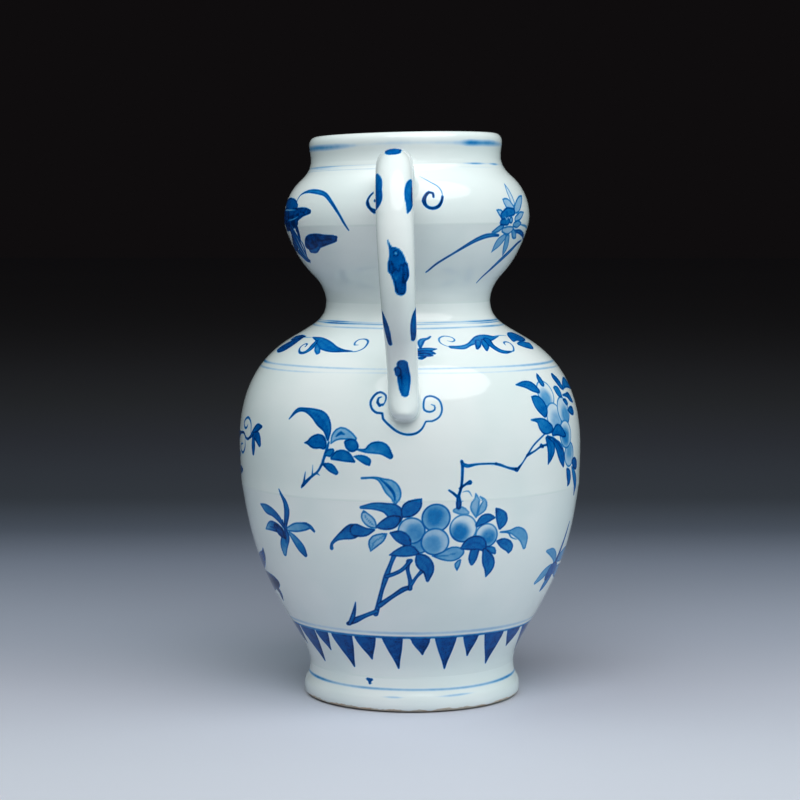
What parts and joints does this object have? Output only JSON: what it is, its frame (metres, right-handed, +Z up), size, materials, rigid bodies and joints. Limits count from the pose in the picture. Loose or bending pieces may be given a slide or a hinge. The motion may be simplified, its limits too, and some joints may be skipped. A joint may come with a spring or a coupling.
{
  "type": "double-handled vase",
  "caption": "Double-gourd vase with a spreading foot, a short thick-lipped neck and two loop handles from bulb to shoulder, blue painted under a clear glaze.",
  "frame": {"origin": "centre of the foot's standing face, on the surface that the vase stands on", "axes": "+Z up along the turning axis; the handles lie along -Y (front) and +Y (back); +X to the right of the front handle"},
  "size_m": [0.138, 0.1674, 0.2259],
  "materials": {
    "glazed_porcelain": "clear, slightly blue glossy glaze over white porcelain painted in cobalt blue",
    "glazed_foot": "the same glaze, wiped off the standing edge, where the bare body shows cream and slightly burnt",
    "luting_slip": "porcelain slip in the joints, under the same glaze outside"
  },
  "bodies": {
    "root": {"lower_belly": "glazed_porcelain", "shoulder": "glazed_porcelain", "bulb_bowl": "glazed_porcelain", "bulb_top_and_lip": "glazed_porcelain", "front_handle": "glazed_porcelain", "back_handle": "glazed_porcelain", "foot_ring": "glazed_foot", "foot_seam_slip": "luting_slip", "belly_seam_slip": "luting_slip", "waist_seam_slip": "luting_slip", "bulb_seam_slip": "luting_slip", "front_upper_root_slip": "luting_slip", "front_lower_root_slip": "luting_slip", "back_upper_root_slip": "luting_slip", "back_lower_root_slip": "luting_slip"}
  },
  "joints": []
}
